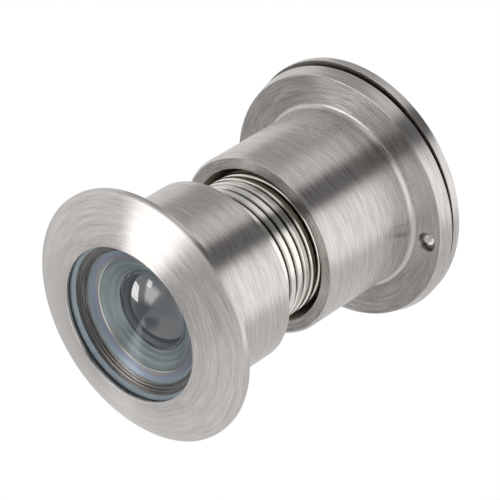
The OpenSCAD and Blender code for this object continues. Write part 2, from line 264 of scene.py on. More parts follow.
def bright_nickel(name, dark_r=0.0, bright_r=0.0):
    """Nickel plate straight from the bath over a cut thread: mirror bright and slightly yellow,
    with faint tool marks that break up the reflections. Between the radius of the thread's root
    and that of its crest, in mm, the colour is painted darker: painted shade in the grooves, with
    old cutting oil."""
    material, tree = new_material(name)
    marks, plate = grained(tree, 900.0, 3.0, "#e2dfd8", "#f4f2ec")
    bump = add(tree, "ShaderNodeBump",
               {"Height": marks, "Strength": 0.1, "Distance": 0.03 * MM})
    # painted shade, with old cutting oil: the colour darkens from the thread's crest down to its
    # root
    if bright_r > dark_r:
        out_of_shade_and_oil = add(tree, "ShaderNodeMapRange",
                    {"Value": from_axis(tree), "From Min": dark_r * MM,
                     "From Max": bright_r * MM}, interpolation_type="SMOOTHSTEP")
        plate = add(tree, "ShaderNodeMix",
                    {0: out_of_shade_and_oil.outputs[0], 6: linear("#33302c"), 7: plate},
                    data_type="RGBA").outputs[2]
    shader = add(tree, "ShaderNodeBsdfPrincipled",
                 {"Base Color": plate, "Metallic": 1.0, "Roughness": 0.07,
                  "Normal": bump.outputs[0]})
    finish_surface(tree, shader)
    return material


def plate_painting_shade_and_light(name, low_hex, high_hex, metallic):
    """A dull, even plate in the given colour, for faces inside and behind. The dark one paints
    shade into the gap between the flange and the cover; the pale, hardly metallic one paints the
    light that the thread throws on to the bore.
    """
    material, tree = new_material(name)
    _, tint = grained(tree, 1100.0, 3.0, low_hex, high_hex)
    shader = add(tree, "ShaderNodeBsdfPrincipled",
                 {"Base Color": tint, "Metallic": metallic, "Roughness": 0.42})
    finish_surface(tree, shader)
    return material


def spring_steel():
    """Hardened strip, oiled and left bare: mid grey, duller than the plating."""
    material, tree = new_material("spring_steel_bare")
    _, tint = grained(tree, 1400.0, 3.0, "#7d7d80", "#a5a5a8")
    shader = add(tree, "ShaderNodeBsdfPrincipled",
                 {"Base Color": tint, "Metallic": 1.0, "Roughness": 0.32})
    finish_surface(tree, shader)
    return material


def black_anodised():
    """Turned aluminium, anodised black to stop stray light: near black, with the tool's lines
    catching brownish light."""
    material, tree = new_material("black_anodised_turned")
    lines = add(tree, "ShaderNodeTexNoise",
                {"Vector": turned_vector(tree, 6, 5).outputs[0], "Scale": 1.0, "Detail": 3.0,
                 "Roughness": 0.6})
    colour = add(tree, "ShaderNodeValToRGB", {0: lines.outputs[0]})
    colour.color_ramp.elements[0].position = 0.4
    colour.color_ramp.elements[0].color = linear("#3a3636")
    colour.color_ramp.elements[1].position = 0.68
    colour.color_ramp.elements[1].color = linear("#8d847c")
    bump = add(tree, "ShaderNodeBump",
               {"Height": lines.outputs[0], "Strength": 0.5, "Distance": 0.03 * MM})
    shader = add(tree, "ShaderNodeBsdfPrincipled",
                 {"Base Color": colour.outputs[0], "Metallic": 1.0, "Roughness": 0.27,
                  "Normal": bump.outputs[0]})
    finish_surface(tree, shader)
    return material


def black_rubber():
    """A nitrile sealing ring: matt black with a soft bloom."""
    material, tree = new_material("nitrile_rubber")
    _, tint = grained(tree, 600.0, 4.0, "#121212", "#232323")
    shader = add(tree, "ShaderNodeBsdfPrincipled", {"Base Color": tint, "Roughness": 0.7})
    finish_surface(tree, shader)
    return material


def coated_glass(name, coating_hex, bare, coated_share):
    """Crown glass, polished and vacuum coated: clear, with a faint mirror image that grows
    towards grazing angles, in the colour of the coating. It is thin, so it bends little."""
    material, tree = new_material(name)
    turned_away = add(tree, "ShaderNodeLayerWeight", {"Blend": 0.5}).outputs["Facing"]
    steep = add(tree, "ShaderNodeMath", {0: turned_away, 1: 5.0}, operation="POWER")
    mirror = add(tree, "ShaderNodeMapRange",
                 {"Value": steep.outputs[0], "To Min": bare, "To Max": coated_share})
    shader = add(tree, "ShaderNodeBsdfPrincipled",
                 {"Base Color": linear(coating_hex), "Metallic": 1.0, "Roughness": 0.02,
                  "Alpha": mirror.outputs[0]})
    finish_surface(tree, shader)
    return material


def dark_glass():
    """The dense flint of a small lens over a black bore: near black, with a crisp gloss."""
    material, tree = new_material("dense_flint_glass")
    _, tint = grained(tree, 160.0, 2.0, "#232526", "#33373a")
    shader = add(tree, "ShaderNodeBsdfPrincipled",
                 {"Base Color": tint, "Roughness": 0.035, "IOR": 2.2})
    finish_surface(tree, shader)
    return material


def ground_glass():
    """The lens's edge, ground with fine emery: a pale blue-grey frost."""
    material, tree = new_material("emery_ground_glass")
    _, tint = grained(tree, 900.0, 3.0, "#93a2aa", "#b9c6cd")
    shader = add(tree, "ShaderNodeBsdfPrincipled",
                 {"Base Color": tint, "Roughness": 0.45, "IOR": 1.52})
    finish_surface(tree, shader)
    return material


def funnel_finish():
    """The cell's turned funnel, clear anodised: blue-green grey with fine lathe lines, and the
    oil-film tints of a thin oxide in its outer third."""
    material, tree = new_material("clear_anodised_turned")
    lines = add(tree, "ShaderNodeTexNoise",
                {"Vector": turned_vector(tree, 5, 3).outputs[0], "Scale": 1.0, "Detail": 3.0,
                 "Roughness": 0.55})
    place = add(tree, "ShaderNodeTexCoord")
    clouds = add(tree, "ShaderNodeTexNoise",
                 {"Vector": place.outputs["Object"], "Scale": 130.0, "Detail": 2.0})
    shifted = add(tree, "ShaderNodeMath",
                  {0: clouds.outputs[0], 1: 1.6 * MM, 2: from_axis(tree)},
                  operation="MULTIPLY_ADD")
    across = add(tree, "ShaderNodeMapRange",
                 {"Value": shifted.outputs[0], "From Min": 7.0 * MM, "From Max": 10.8 * MM})
    film = add(tree, "ShaderNodeValToRGB", {0: across.outputs[0]})
    tints = ((0.0, "#97a4a7"), (0.45, "#99a6a9"), (0.62, "#9ca7a3"), (0.7, "#a7a7a0"),
             (0.77, "#a197a8"), (0.84, "#8b98ae"), (1.0, "#9ba8ae"))
    for _ in range(len(tints) - 2):
        film.color_ramp.elements.new(0.5)
    for point, (position, hex_colour) in zip(film.color_ramp.elements, tints):
        point.position = position
        point.color = linear(hex_colour)
    shade = add(tree, "ShaderNodeMapRange",
                {"Value": lines.outputs[0], "From Min": 0.3, "From Max": 0.7, "To Min": 0.72,
                 "To Max": 1.0})
    colour = add(tree, "ShaderNodeVectorMath", {0: film.outputs[0], "Scale": shade.outputs[0]},
                 operation="SCALE")
    shader = add(tree, "ShaderNodeBsdfPrincipled",
                 {"Base Color": colour.outputs[0], "Metallic": 0.6, "Roughness": 0.36})
    finish_surface(tree, shader)
    return material


# ---------------------------------------------------------------- shape helpers


def new_object(name, data):
    """An object in the scene that shows the data."""
    made = bpy.data.objects.new(name, data)
    bpy.context.scene.collection.objects.link(made)
    return made


def arc_points(centre, radius, start, stop, steps):
    """Points on an arc in the section plane, angles in degrees from the radial direction."""
    angles = [math.radians(start + (stop - start) * i / steps) for i in range(steps + 1)]
    return [(centre[0] + radius * math.cos(a), centre[1] + radius * math.sin(a)) for a in angles]


def rounded(corners, steps=5, closed=True):
    """Section points from corners (r, y) or (r, y, fillet radius)."""
    points = []
    count = len(corners)
    for i, corner in enumerate(corners):
        here = Vector(corner[:2])
        fillet = corner[2] if len(corner) > 2 else 0
        if not fillet or (not closed and i in (0, count - 1)):
            points.append(tuple(here))
            continue
        back = (Vector(corners[i - 1][:2]) - here).normalized()
        onward = (Vector(corners[(i + 1) % count][:2]) - here).normalized()
        half = back.angle(onward) / 2
        reach = fillet / math.tan(half)
        middle = here + (back + onward).normalized() * (fillet / math.sin(half))
        first = here + back * reach - middle
        last = here + onward * reach - middle
        for k in range(steps + 1):
            spoke = first.slerp(last, k / steps).normalized() * fillet
            points.append(tuple(middle + spoke))
    return points


def revolve(name, section, closed=True, around=AROUND):
    """A solid of revolution about +Y from a section in mm, with a UV map that runs once round in
    u and along the section in v (100 mm to the unit). A point at radius 0 becomes a pole."""
    mesh = bpy.data.meshes.new(name)
    work = bmesh.new()
    rings = []
    for r, y in section:
        if r < 1e-6:
            rings.append([work.verts.new((0, y * MM, 0))])
            continue
        rings.append([work.verts.new((r * MM * math.cos(TURN * i / around - math.pi / 2), y * MM,
                                      r * MM * math.sin(TURN * i / around - math.pi / 2)))
                      for i in range(around)])
    layer = work.loops.layers.uv.new("turned")
    travelled = [0.0]
    for i in range(len(section)):
        step = math.dist(section[i], section[(i + 1) % len(section)])
        travelled.append(travelled[-1] + step / 100)
    last = len(section) if closed else len(section) - 1
    for j in range(last):
        here, there = rings[j], rings[(j + 1) % len(rings)]
        if len(here) == 1 and len(there) == 1:
            continue
        for i in range(around):
            ends = ((here, i, 0), (there, i, 1), (there, i + 1, 1), (here, i + 1, 0))
            corners = [(ring[k % around] if len(ring) > 1 else ring[0], k, side)
                       for ring, k, side in ends]
            unique = []
            for corner in corners:
                if corner[0] not in [u[0] for u in unique]:
                    unique.append(corner)
            face = work.faces.new([u[0] for u in unique])
            face.smooth = True
            for loop, (_, k, side) in zip(face.loops, unique):
                loop[layer].uv = (k / around, travelled[j + side])
    bmesh.ops.recalc_face_normals(work, faces=work.faces)
    work.to_mesh(mesh)
    work.free()
    return new_object(name, mesh)


def settle(piece, material, body, slot, *nodes):
    """Gives a finished piece its material and its crisp shading, and joins it to the frame."""
    piece.data.materials.clear()
    piece.data.materials.append(material)
    piece.data.set_sharp_from_angle(angle=math.radians(35))
    weights = piece.modifiers.new("even_shading", "WEIGHTED_NORMAL")
    weights.keep_sharp = True
    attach(piece, body)
    if nodes:
        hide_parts(*nodes)
    return piece


def refinish(piece, material, chosen):
    """Gives another finish to the faces that chosen(radius, y, outward y) picks, in mm."""
    piece.data.materials.append(material)
    index = len(piece.data.materials) - 1
    for face in piece.data.polygons:
        x, y, z = face.center / MM
        if chosen(math.hypot(x, z), y, face.normal.y):
            face.material_index = index
    return piece


def bake(piece):
    """The evaluated piece as plain mesh data, its modifiers gone."""
    bpy.context.view_layer.update()
    depsgraph = bpy.context.evaluated_depsgraph_get()
    plain = bpy.data.meshes.new_from_object(piece.evaluated_get(depsgraph))
    piece.modifiers.clear()
    piece.data = plain
    return piece


def cut(piece, *tools):
    """Takes each tool out of the piece, and removes the tool."""
    for tool in tools:
        trim = piece.modifiers.new("cut", "BOOLEAN")
        trim.object = tool
        trim.operation = "DIFFERENCE"
        trim.solver = "EXACT"
    bake(piece)
    for tool in tools:
        bpy.data.objects.remove(tool)
    return piece


def on_axis(piece, origin, direction):
    """Moves a piece that was made about +Y on to an axis through origin (mm)."""
    turn = Vector((0, 1, 0)).rotation_difference(Vector(direction)).to_matrix().to_4x4()
    piece.data.transform(Matrix.Translation(Vector(origin) * MM) @ turn)
    return piece


def block(name, low, high):
    """A cutting block between two corners, in mm."""
    mesh = bpy.data.meshes.new(name)
    work = bmesh.new()
    bmesh.ops.create_cube(work, size=1)
    for vert in work.verts:
        vert.co = Vector([(a + b) / 2 + c * (b - a) for a, b, c in zip(low, high, vert.co)]) * MM
    work.to_mesh(mesh)
    work.free()
    return new_object(name, mesh)


def ball_sag(radius, r):
    """How far a ball's surface falls back from its crown at radius r."""
    return radius - math.sqrt(radius * radius - r * r)


def ball_radius(r, sag):
    return (r * r + sag * sag) / (2 * sag)


def dome(r, sag, crown_y, towards, steps=24):
    """Section points of a shallow ball from the axis out to r. The crown is at crown_y and the
    surface falls away along +Y (towards = 1) or -Y (-1)."""
    radius = ball_radius(r, sag)
    return [(r * i / steps, crown_y + towards * ball_sag(radius, r * i / steps))
            for i in range(steps + 1)]


# ---------------------------------------------------------------- materials in use

NICKEL = satin_nickel()
BRIGHT = bright_nickel("bright_nickel_plate")
# the tube's thread: painted shade, with old cutting oil, darkens its grooves between radius 10.5
# and 10.86 mm
CUT_THREAD = bright_nickel("bright_nickel_thread", 10.5, 10.86)
# a dark, dull plate for the faces that meet across the gap between flange and cover: painted shade
# that keeps the gap dark
GAP_PAINTED_SHADE = plate_painting_shade_and_light("nickel_gap_painted_shade", "#7b7672", "#928d88", 1.0)
# a pale, hardly metallic plate for the inner barrel's bore: painted light, standing in for what the
# thread's bright crests throw on to it
BORE_PAINTED_LIGHT = plate_painting_shade_and_light("nickel_bore_painted_light", "#d3c9b8", "#e6dccb", 0.1)
STEEL = spring_steel()
BLACK = black_anodised()
RUBBER = black_rubber()
CLEAR_GLASS = coated_glass("coated_crown_glass", "#dfe9f2", 0.06, 1.0)
EYE_GLASS = coated_glass("coated_eyepiece_glass", "#cfdcf0", 0.1, 1.0)
DARK_GLASS = dark_glass()
GROUND_GLASS = ground_glass()
FUNNEL = funnel_finish()

# ---------------------------------------------------------------- plain turned pieces


def ring_section(node, inner_r, soften=0.06, clear=SKIN):
    """The section of a plain ring as wide as its CAD node, its edges softened."""
    low, high, outer_r = span(node)
    low, high = low + clear, high - clear
    return rounded([(inner_r, low, soften), (outer_r, low, soften),
                    (outer_r, high, soften), (inner_r, high, soften)])


def outer_housing():
    """The bezel flange and barrel in one: a domed face, a thin rim and a straight barrel."""
    front_y, end_y, rim_r = span("outer_housing")
    seal_y = span("lens_seal")[0]
    drop = RIM_Y - front_y
    shoulder_r = rim_r - RIM_EDGE
    centre = (shoulder_r ** 2 - APERTURE_R ** 2 - drop ** 2) / (2 * drop)
    radius = math.hypot(shoulder_r, centre)
    start = -math.degrees(math.acos((APERTURE_R + 0.12) / radius))
    stop = -math.degrees(math.acos((rim_r - 0.16) / radius))
    face = arc_points((0, RIM_Y + centre), radius, start, stop, 32)
    seat = -SKIN / 2
    edge = rounded([face[-1], (rim_r, face[-1][1] + 0.14, 0.06), (rim_r, seat, 0.12),
                    (BARREL_R, seat, 0.05), (BARREL_R, end_y - BARREL_CHAMFER, 0.08),
                    (BARREL_R - BARREL_CHAMFER, end_y, 0.08), (HOUSING_BORE_R, end_y, 0.05),
                    (HOUSING_BORE_R, seal_y, 0), (APERTURE_R, seal_y, 0),
                    (APERTURE_R, face[0][1] + 0.1, 0)], closed=False)
    return revolve("outer_housing_turned", face + edge[1:])


def flat_ring(inner_r, outer_r, half_t, soften):
    """The section of a small ring about its own middle."""
    return rounded([(inner_r, -half_t, soften), (outer_r, -half_t, soften),
                    (outer_r, half_t, soften), (inner_r, half_t, soften)])


def circlip():
    """A snap ring cut from spring strip, open at +X."""
    low, high, outer_r = span("tube_circlip")
    ring = revolve("tube_circlip_ring", ring_section("tube_circlip", CIRCLIP_BORE_R, 0.05))
    gap = block("gap", (9.0, low - 1, -CIRCLIP_GAP / 2), (outer_r + 1, high + 1, CIRCLIP_GAP / 2))
    return cut(ring, gap)


# ---------------------------------------------------------------- threads


def thread_tree():
    """Geometry Nodes that wind a thread: a flat grid, stations by profile, is wrapped so that one
    axis climbs the helix and the other draws root, flank, crest and flank over one pitch."""
    tree = bpy.data.node_groups.new("wound_thread", "GeometryNodeTree")
    face = tree.interface
    face.new_socket("Geometry", in_out="INPUT", socket_type="NodeSocketGeometry")
    for label in ("Turns", "Pitch", "Root Radius", "Depth", "Crest Width", "Flank Width", "Start"):
        face.new_socket(label, in_out="INPUT", socket_type="NodeSocketFloat")
    face.new_socket("Stations", in_out="INPUT", socket_type="NodeSocketInt")
    face.new_socket("Finish", in_out="INPUT", socket_type="NodeSocketMaterial")
    face.new_socket("Geometry", in_out="OUTPUT", socket_type="NodeSocketGeometry")
    given = add(tree, "NodeGroupInput").outputs

    # where each point lies on the flat grid, 0 to 1: along the helix, and across one pitch
    grid = add(tree, "GeometryNodeMeshGrid",
               {"Size X": 1.0, "Size Y": 1.0, "Vertices X": given["Stations"], "Vertices Y": 25})
    flat = add(tree, "GeometryNodeInputPosition")
    shifted = add(tree, "ShaderNodeVectorMath", {0: flat.outputs[0], 1: (0.5, 0.5, 0.0)},
                  operation="ADD")
    place = add(tree, "ShaderNodeSeparateXYZ", {0: shifted.outputs[0]})
    across = place.outputs[1]
    turned = add(tree, "ShaderNodeMath", {0: place.outputs[0], 1: given["Turns"]},
                 operation="MULTIPLY").outputs[0]

    # height of the ridge: full on the crest, sloping down the flanks, nothing in the root
    half_crest = add(tree, "ShaderNodeMath", {0: given["Crest Width"], 1: 0.5},
                     operation="MULTIPLY").outputs[0]
    middle = add(tree, "ShaderNodeMath", {0: given["Flank Width"], 1: half_crest},
                 operation="ADD").outputs[0]
    up_pitch = add(tree, "ShaderNodeMath", {0: across, 1: given["Pitch"]}, operation="MULTIPLY")
    offset = add(tree, "ShaderNodeMath", {0: up_pitch.outputs[0], 1: middle},
                 operation="SUBTRACT")
    off_middle = add(tree, "ShaderNodeMath", {0: offset.outputs[0]}, operation="ABSOLUTE")
    height = add(tree, "ShaderNodeMapRange",
                 {"Value": off_middle.outputs[0], "From Min": half_crest, "From Max": middle,
                  "To Min": 1.0, "To Max": 0.0})

    # the ridge fades in and out over the first and last third of a turn
    to_go = add(tree, "ShaderNodeMath", {0: given["Turns"], 1: turned}, operation="SUBTRACT")
    nearest = add(tree, "ShaderNodeMath", {0: turned, 1: to_go.outputs[0]}, operation="MINIMUM")
    fade = add(tree, "ShaderNodeMapRange",
               {"Value": nearest.outputs[0], "From Min": 0.0, "From Max": RUN_OUT_TURNS})
    raised = add(tree, "ShaderNodeMath", {0: height.outputs[0], 1: fade.outputs[0]},
                 operation="MULTIPLY")
    radius = add(tree, "ShaderNodeMath",
                 {0: raised.outputs[0], 1: given["Depth"], 2: given["Root Radius"]},
                 operation="MULTIPLY_ADD").outputs[0]

    # round the axis and up the helix
    climbed = add(tree, "ShaderNodeMath", {0: turned, 1: across}, operation="ADD")
    station = add(tree, "ShaderNodeMath",
                  {0: climbed.outputs[0], 1: given["Pitch"], 2: given["Start"]},
                  operation="MULTIPLY_ADD")
    angle = add(tree, "ShaderNodeMath", {0: turned, 1: -TURN}, operation="MULTIPLY").outputs[0]
    cosine = add(tree, "ShaderNodeMath", {0: angle}, operation="COSINE")
    sine = add(tree, "ShaderNodeMath", {0: angle}, operation="SINE")
    east = add(tree, "ShaderNodeMath", {0: radius, 1: cosine.outputs[0]}, operation="MULTIPLY")
    upward = add(tree, "ShaderNodeMath", {0: radius, 1: sine.outputs[0]}, operation="MULTIPLY")
    wrapped = add(tree, "ShaderNodeCombineXYZ",
                  {0: east.outputs[0], 1: station.outputs[0], 2: upward.outputs[0]})
    wound = add(tree, "GeometryNodeSetPosition",
                {"Geometry": grid.outputs[0], "Position": wrapped.outputs[0]})
    joined = add(tree, "GeometryNodeMergeByDistance",
                 {"Geometry": wound.outputs[0], "Distance": 0.004 * MM})
    real = add(tree, "GeometryNodeRealizeInstances", {0: joined.outputs[0]})
    coated = add(tree, "GeometryNodeSetMaterial",
                 {"Geometry": real.outputs[0], "Material": given["Finish"]})
    add(tree, "NodeGroupOutput", {0: coated.outputs[0]})
    return tree


def thread(name, tree, finish, **sizes):
    """Winds one thread and returns it as a plain mesh. Sizes are named for the tree's inputs."""
    piece = new_object(name, bpy.data.meshes.new(name))
    winder = piece.modifiers.new("wound_thread", "NODES")
    winder.node_group = tree
    sockets = {item.name: item.identifier for item in tree.interface.items_tree
               if item.in_out == "INPUT"}
    for label, value in sizes.items():
        winder[sockets[label.replace("_", " ")]] = value
    winder[sockets["Finish"]] = finish
    return bake(piece)


def join(name, *parts):
    """One mesh from several, each face keeping its material."""
    work = bmesh.new()
    slots = []
    for part in parts:
        before = len(work.faces)
        work.from_mesh(part.data)
        work.faces.ensure_lookup_table()
        for face in work.faces[before:]:
            material = part.data.materials[face.material_index]
            if material not in slots:
                slots.append(material)
            face.material_index = slots.index(material)
    mesh = bpy.data.meshes.new(name)
    work.to_mesh(mesh)
    work.free()
    for material in slots:
        mesh.materials.append(material)
    for part in parts:
        bpy.data.objects.remove(part)
    return new_object(name, mesh)


def facing_out(piece, outward=1):
    """Turns a wound thread's faces so that they look away from the axis, or towards it."""
    total = sum(outward * face.normal.dot(Vector((face.center.x, 0, face.center.z)))
                for face in piece.data.polygons)
    if total < 0:
        piece.data.flip_normals()
    return piece


def threaded_tube(tree):
    """The adjusting tube: a cut thread in front, a plain shank with a snap ring groove, and a
    head with two coin slots."""
    start, end, head_r = span("threaded_tube")
    groove, groove_end, _ = span("tube_circlip")
    head = span("thrust_washer")[1]
    seat = span("eyepiece_lens")[0]
    mouth = start + 2 * SKIN
    head_edge = head_r - 2 * SKIN
    room_end = end - SKIN
    eye_bore_r = TUBE_BORE_R - 0.05
    core = rounded([(TUBE_BORE_R, mouth, 0.1), (THREAD_ROOT_R - 0.12, mouth, 0.12),
                    (THREAD_ROOT_R - 0.08, THREAD_END_Y, 0), (SHANK_R, THREAD_END_Y + 0.1, 0),
                    (SHANK_R, groove, 0.03), (GROOVE_R, groove, 0.03),
                    (GROOVE_R, groove_end, 0.03), (SHANK_R, groove_end, 0.03),
                    (SHANK_R, head, 0.08), (head_edge, head, 0.08),
                    (head_edge, end - 0.3, 0.08), (head_r - 0.3, room_end, 0.08),
                    (eye_bore_r, room_end, 0.08), (eye_bore_r, seat, 0), (EYE_SEAT_R, seat, 0),
                    (EYE_SEAT_R, seat - 0.8, 0), (TUBE_BORE_R, seat - 1.1, 0)])
    barrel = revolve("core", core)
    barrel.data.materials.append(CUT_THREAD)
    cut(barrel, *[block("slot", (side * COIN_SLOT_R - 2.2, end - 0.7, -0.9),
                        (side * COIN_SLOT_R + 2.2, end + 1, 0.9)) for side in (-1, 1)])
    # the ridge is rooted a little inside the core, so that no gap shows between them
    ridge = thread("ridge", tree, CUT_THREAD, Turns=float(THREAD_TURNS),
                   Pitch=THREAD_PITCH * MM, Root_Radius=(THREAD_ROOT_R - 0.02) * MM,
                   Depth=(THREAD_DEPTH + 0.02) * MM, Crest_Width=THREAD_CREST * MM,
                   Flank_Width=THREAD_FLANK * MM, Start=start * MM,
                   Stations=THREAD_TURNS * STATIONS_PER_TURN + 1)
    return join("threaded_tube_cut", facing_out(ridge), barrel)


def threaded_bush(tree):
    """The bush pressed into the outer barrel, with the mating thread inside."""
    start, end, bush_r = span("threaded_bush")
    front = start + 2 * SKIN
    wall = rounded([(BUSH_BORE_R, front, 0.1), (bush_r, front, 0.1), (bush_r, end - SKIN, 0.1),
                    (BUSH_BORE_R, end - SKIN, 0.15)])
    shell = revolve("shell", wall)
    shell.data.materials.append(BRIGHT)
    ridge = thread("ridge", tree, BRIGHT, Turns=float(BUSH_TURNS), Pitch=THREAD_PITCH * MM,
                   Root_Radius=BUSH_ROOT_R * MM, Depth=-BUSH_RIDGE * MM,
                   Crest_Width=BUSH_CREST * MM, Flank_Width=THREAD_FLANK * MM,
                   Start=BUSH_THREAD_Y * MM, Stations=BUSH_TURNS * STATIONS_PER_TURN + 1)
    return join("threaded_bush_cut", facing_out(ridge, -1), shell)


# ---------------------------------------------------------------- outer half


def slotted_ring(node, inner_r, slot_width):
    """A threaded retaining ring with a screwdriver slot straight across its far face."""
    ring = revolve(node + "_ring", ring_section(node, inner_r, 0.1))
    high = span(node)[1]
    half = slot_width / 2
    return cut(ring, block("slot", (-10, high - 0.5, -half), (10, high + 1, half)))


def outer_half():
    settle(outer_housing(), NICKEL, "outer_half", "satin_nickel", "outer_housing")

    seal = revolve("lens_seal_ring", ring_section("lens_seal", APERTURE_R + 0.02, 0.04))
    settle(seal, RUBBER, "outer_half", "black_rubber", "lens_seal")

    # the front lens: a slight dome, a thin rim, a ground and tapered body, a hollow behind
    tip, back, lens_r = span("front_lens")
    seat = span("lens_seal")[1]
    shoulder = seat + 0.25
    front = dome(APERTURE_R - 0.2, seat - tip - 2 * SKIN, tip + SKIN, 1)
    rim = rounded([(APERTURE_R - 0.1, seat + 2 * SKIN, 0), (lens_r - SKIN, seat + 2 * SKIN, 0.05),
                   (lens_r - SKIN, shoulder - SKIN, 0.05), (GROUND_FRONT_R, shoulder, 0),
                   (GROUND_BACK_R, back - 0.08, 0.03), (GROUND_BACK_R - 0.12, back - SKIN, 0.03),
                   (HOLLOW_R, back - SKIN, 0)], closed=False)
    hollow = dome(HOLLOW_R - 0.05, HOLLOW_DEPTH - 2 * SKIN, back - HOLLOW_DEPTH, 1)
    lens = revolve("front_lens_glass", front + rim[1:] + hollow[::-1], closed=False)
    settle(lens, CLEAR_GLASS, "outer_half", "optical_glass", "front_lens")
    refinish(lens, GROUND_GLASS, lambda r, y, out: GROUND_BACK_R - NEAR < r < lens_r - 0.3
             and y > shoulder - 0.15)

    # the front spacer: a skirt round the lens's body, and a cone turned with coarse lines
    low, high, outer_r = span("front_spacer")
    cone_top, cone_foot = back + SKIN, high - SKIN
    cone = []
    for i in range(CONE_LINES + 1):
        share = i / CONE_LINES
        r = SPACER_BACK_R + (SPACER_SEAT_R - SPACER_BACK_R) * share
        cone.append((r + (CONE_LINE_DEPTH if i % 2 else 0.0),
                     cone_foot + (cone_top - cone_foot) * share))
    skirt_r = APERTURE_R - SKIN
    skirt = rounded([(SPACER_SEAT_R, cone_top), (skirt_r, cone_top, 0.02),
                     (skirt_r, low + SKIN, 0.03), (outer_r, low + SKIN, 0.05),
                     (outer_r, cone_foot, 0.05), (SPACER_BACK_R, cone_foot)], closed=False)
    settle(revolve("front_spacer_ring", cone + skirt[1:-1]), BLACK, "outer_half",
           "black_anodised", "front_spacer")

    # the lens cell: its flange is a funnel with turned ridges, down to the second lens's lip
    low, high, flange_r = span("lens_cell")
    face, foot, flange_back = low + SKIN, high - SKIN, BUSH_FRONT_Y - SKIN
    chamfer_y = low + CELL_CHAMFER_T
    lip_y = chamfer_y + FUNNEL_T
    slope = FUNNEL_T / (FUNNEL_R - CELL_LIP_R)
    funnel = [(SPACER_BACK_R, face), (FUNNEL_R, chamfer_y)]
    for ridge_r, ridge_h in FUNNEL_RIDGES:
        for aside, height in ((0.14, 0), (0.05, ridge_h), (-0.05, ridge_h), (-0.14, 0)):
            r = ridge_r + aside
            funnel.append((r, chamfer_y + slope * (FUNNEL_R - r) - height))
    bore_r = span("second_lens")[2] + 0.05
    cup = rounded([(CELL_LIP_R, lip_y), (CELL_LIP_R, LENS_STEP_Y, 0.05),
                   (bore_r, LENS_STEP_Y, 0.03), (bore_r, foot, 0.1), (CELL_R, foot, 0.12),
                   (CELL_R, flange_back, 0.1), (flange_r - SKIN, flange_back, 0.1),
                   (flange_r - SKIN, face, 0.08), (SPACER_BACK_R, face)], closed=False)
    cell = revolve("lens_cell_cup", funnel + cup[:-1])
    settle(cell, BLACK, "outer_half", "black_anodised", "lens_cell")
    refinish(cell, FUNNEL, lambda r, y, out: CELL_LIP_R < r < SPACER_BACK_R and y < lip_y)
    refinish(cell, BRIGHT, lambda r, y, out: abs(r - CELL_LIP_R) < NEAR and y < LENS_STEP_Y)
    refinish(cell, BRIGHT, lambda r, y, out: abs(r - FUNNEL_RIDGES[0][0]) < NEAR and y < lip_y)

    # the second lens stands forward through the cell's lip as a bold dome
    tip, back, lens_r = span("second_lens")
    glass_r, step_y = lens_r - 2 * SKIN, LENS_STEP_Y + SKIN
    dome_front = dome(DOME_R - 2 * SKIN, DOME_H - 3 * SKIN, tip + SKIN, 1, 32)
    rest = rounded([(DOME_R, lip_y, 0), (DOME_R, step_y, 0.03), (glass_r, step_y, 0.1),
                    (glass_r, back - SKIN, 0.15), (INNER_HOLLOW_R, back - SKIN, 0)], closed=False)
    hollow = dome(INNER_HOLLOW_R - 0.1, SECOND_HOLLOW - 0.05, back - SECOND_HOLLOW, 1)
    lens = revolve("second_lens_glass", dome_front + rest + hollow[::-1], closed=False)
    settle(lens, DARK_GLASS, "outer_half", "optical_glass", "second_lens")
    refinish(lens, GROUND_GLASS, lambda r, y, out: r > DOME_R - NEAR and y < LENS_STEP_Y)

    spacer = revolve("cell_spacer_ring", ring_section("cell_spacer", CELL_SPACER_R))
    settle(spacer, BLACK, "outer_half", "black_anodised", "cell_spacer")

    front, back, lens_r = span("third_lens")
    glass_r = lens_r - 2 * SKIN
    face = rounded([(0, front + SKIN, 0), (glass_r, front + SKIN, 0.1),
                    (glass_r, back - SKIN, 0.15), (INNER_HOLLOW_R, back - SKIN, 0)], closed=False)
    hollow = dome(INNER_HOLLOW_R - 0.1, THIRD_HOLLOW - 0.05, back - THIRD_HOLLOW, 1)
    settle(revolve("third_lens_glass", face + hollow[::-1], closed=False), DARK_GLASS,
           "outer_half", "optical_glass", "third_lens")

    retainer = slotted_ring("cell_retainer", CELL_RETAINER_R, 1.0)
    settle(retainer, BLACK, "outer_half", "black_anodised", "cell_retainer")


# ---------------------------------------------------------------- inner half


def pivot_frame():
    """The cover's hinge point, in metres, and its axis."""
    hinge = joints["cover_swing"]
    return Vector(hinge["pos_m"]), Vector(hinge["axis"]).normalized()


def inner_housing():
    """The inner barrel and flange in one, with the web and the recess for the tube's head."""
    mouth, back, flange_r = span("inner_housing")
    seat = back - FLANGE_T
    room_face = back - SKIN / 2
    section = rounded([
        (INNER_BORE_R, mouth, 0.05), (BARREL_R - MOUTH_CHAMFER, mouth, 0.06),
        (BARREL_R, mouth + MOUTH_CHAMFER, 0.08), (BARREL_R, seat - SKIN / 2, ROOT_FILLET),
        (INNER_EDGE_R, seat, FLANGE_BREAK), (flange_r, room_face, FLANGE_BREAK),
        (HEAD_BORE_R, room_face, 0.1), (HEAD_BORE_R, WEB_BACK_Y, 0.02),
        (WEB_HOLE_R, WEB_BACK_Y, 0.05), (WEB_HOLE_R, WEB_Y, 0.05),
        (INNER_BORE_R, WEB_Y, 0.02)], steps=8)
    piece = revolve("inner_housing_turned", section)
    centre = pivot_frame()[0] / MM
    tools = []
    far = back + 1
    for name, radius, low, high in (
            ("hole", PIVOT_HOLE_R, seat - 1, far),
            ("bore", PIVOT_BORE_R, seat - 1, seat + PIVOT_BORE_DEPTH),
            ("recess", PIVOT_RECESS_R, back - PIVOT_RECESS_DEPTH, far)):
        tool = revolve(name, [(0, low), (radius, low), (radius, high), (0, high)], closed=False,
                       around=AROUND_WASHER)
        tools.append(on_axis(tool, (centre.x, 0, centre.z), (0, 1, 0)))
    return cut(piece, *tools)


